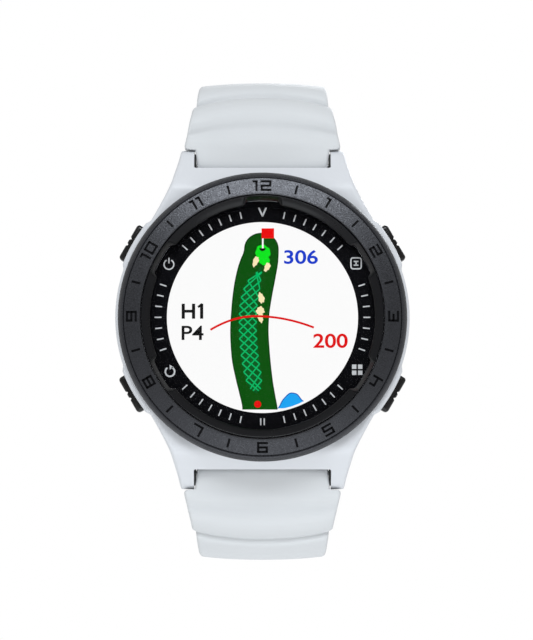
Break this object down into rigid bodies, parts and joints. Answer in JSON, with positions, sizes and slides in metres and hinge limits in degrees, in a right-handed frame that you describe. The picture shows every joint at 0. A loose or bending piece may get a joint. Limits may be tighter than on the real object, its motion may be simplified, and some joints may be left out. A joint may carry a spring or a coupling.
{
  "type": "golf gps watch",
  "caption": "Round golf GPS watch with a white case, black hour-numeral bezel, colour hole display, side buttons and a white silicone strap with buckle",
  "frame": {"origin": "Centre of the case back's flat outer face, which lies against the wrist", "axes": "The display faces -Y and the case back faces +Y; 12 o'clock is +Z; +X is 3 o'clock, on the right as one reads the display"},
  "size_m": [0.047, 0.0862, 0.0778],
  "materials": {
    "white_case": "satin white",
    "black_bezel": "satin black with engraved hour numerals",
    "gloss_black": "glossy",
    "lens_glass": "clear, hardened",
    "seal_rubber": "matt",
    "display": "colour display showing a golf hole from above",
    "backlight_white": "matt white",
    "dark_plastic": "fine matt",
    "circuit_board": "green solder mask",
    "steel": "brushed",
    "antenna_ceramic": "matt",
    "battery_foil": "matt foil",
    "button_black": "semi-gloss",
    "contact_gold": "gold plated",
    "white_silicone": "smooth matt silicone"
  },
  "bodies": {
    "watch_head": {"case_body": "white_case", "bezel_ring": "black_bezel", "inner_flange": "gloss_black", "lens": "lens_glass", "lens_gasket": "seal_rubber", "dial_ring": "gloss_black", "display_panel": "display", "backlight": "backlight_white", "display_frame": "dark_plastic", "main_board": "circuit_board", "processor_shield": "steel", "gps_antenna": "antenna_ceramic", "battery": "battery_foil", "vibration_motor": "steel", "back_cover": "dark_plastic", "back_gasket": "seal_rubber", "back_screw_1": "steel", "back_screw_2": "steel", "back_screw_3": "steel", "back_screw_4": "steel", "charge_contact_1": "contact_gold", "charge_contact_2": "contact_gold", "charge_contact_3": "contact_gold", "charge_contact_4": "contact_gold", "button_spring_upper_right": "steel", "button_seal_upper_right": "seal_rubber", "switch_upper_right": "dark_plastic", "button_spring_lower_right": "steel", "button_seal_lower_right": "seal_rubber", "switch_lower_right": "dark_plastic", "button_spring_lower_left": "steel", "button_seal_lower_left": "seal_rubber", "switch_lower_left": "dark_plastic", "button_spring_upper_left": "steel", "button_seal_upper_left": "seal_rubber", "switch_upper_left": "dark_plastic"},
    "button_upper_right": {"button_upper_right": "button_black", "button_clip_upper_right": "steel"},
    "button_lower_right": {"button_lower_right": "button_black", "button_clip_lower_right": "steel"},
    "button_lower_left": {"button_lower_left": "button_black", "button_clip_lower_left": "steel"},
    "button_upper_left": {"button_upper_left": "button_black", "button_clip_upper_left": "steel"},
    "motor_rotor": {"motor_weight": "steel"},
    "upper_band": {"upper_strap": "white_silicone", "upper_spring_bar": "steel", "fixed_keeper": "white_silicone"},
    "upper_release": {"upper_release_pin": "steel"},
    "buckle": {"buckle_frame": "steel", "buckle_bar": "steel"},
    "tang": {"buckle_tang": "steel"},
    "sliding_keeper": {"free_keeper": "white_silicone"},
    "lower_band": {"lower_strap": "white_silicone", "lower_spring_bar": "steel"},
    "lower_release": {"lower_release_pin": "steel"}
  },
  "joints": [
    {"name": "press_upper_right", "type": "slide", "parent": "watch_head", "child": "button_upper_right", "axis": [-0.866, 0, -0.5], "range_m": [0, 0.0005], "stiffness_N_per_m": 2000, "springref_m": -0.0005, "deforming": ["button_spring_upper_right"]},
    {"name": "press_lower_right", "type": "slide", "parent": "watch_head", "child": "button_lower_right", "axis": [-0.866, 0, 0.5], "range_m": [0, 0.0005], "stiffness_N_per_m": 2000, "springref_m": -0.0005, "deforming": ["button_spring_lower_right"]},
    {"name": "press_lower_left", "type": "slide", "parent": "watch_head", "child": "button_lower_left", "axis": [0.866, 0, 0.5], "range_m": [0, 0.0005], "stiffness_N_per_m": 2000, "springref_m": -0.0005, "deforming": ["button_spring_lower_left"]},
    {"name": "press_upper_left", "type": "slide", "parent": "watch_head", "child": "button_upper_left", "axis": [0.866, 0, -0.5], "range_m": [0, 0.0005], "stiffness_N_per_m": 2000, "springref_m": -0.0005, "deforming": ["button_spring_upper_left"]},
    {"name": "motor_spin", "type": "hinge", "parent": "watch_head", "child": "motor_rotor", "pos_m": [0.0123, -0.00295, 0], "axis": [0, 0, 1], "continuous": true},
    {"name": "upper_lug_hinge", "type": "hinge", "parent": "watch_head", "child": "upper_band", "pos_m": [0, -0.0028, 0.0248], "axis": [1, 0, 0], "range_deg": [-10, 12]},
    {"name": "upper_bar_release", "type": "slide", "parent": "upper_band", "child": "upper_release", "axis": [-1, 0, 0], "range_m": [0, 0.0014], "stiffness_N_per_m": 500, "springref_m": -0.002},
    {"name": "buckle_hinge", "type": "hinge", "parent": "upper_band", "child": "buckle", "pos_m": [0, 0.0478, 0.00373], "axis": [1, 0, 0], "range_deg": [-30, 45]},
    {"name": "tang_hinge", "type": "hinge", "parent": "buckle", "child": "tang", "pos_m": [0, 0.0478, 0.00373], "axis": [1, 0, 0], "range_deg": [0, 75]},
    {"name": "keeper_slide", "type": "hinge", "parent": "upper_band", "child": "sliding_keeper", "pos_m": [0, 0.0067, -0.0049], "axis": [1, 0, 0], "range_deg": [-6, 7.5]},
    {"name": "lower_lug_hinge", "type": "hinge", "parent": "watch_head", "child": "lower_band", "pos_m": [0, -0.0028, -0.0248], "axis": [-1, 0, 0], "range_deg": [-3, 12]},
    {"name": "lower_bar_release", "type": "slide", "parent": "lower_band", "child": "lower_release", "axis": [1, 0, 0], "range_m": [0, 0.0014], "stiffness_N_per_m": 500, "springref_m": -0.002}
  ]
}
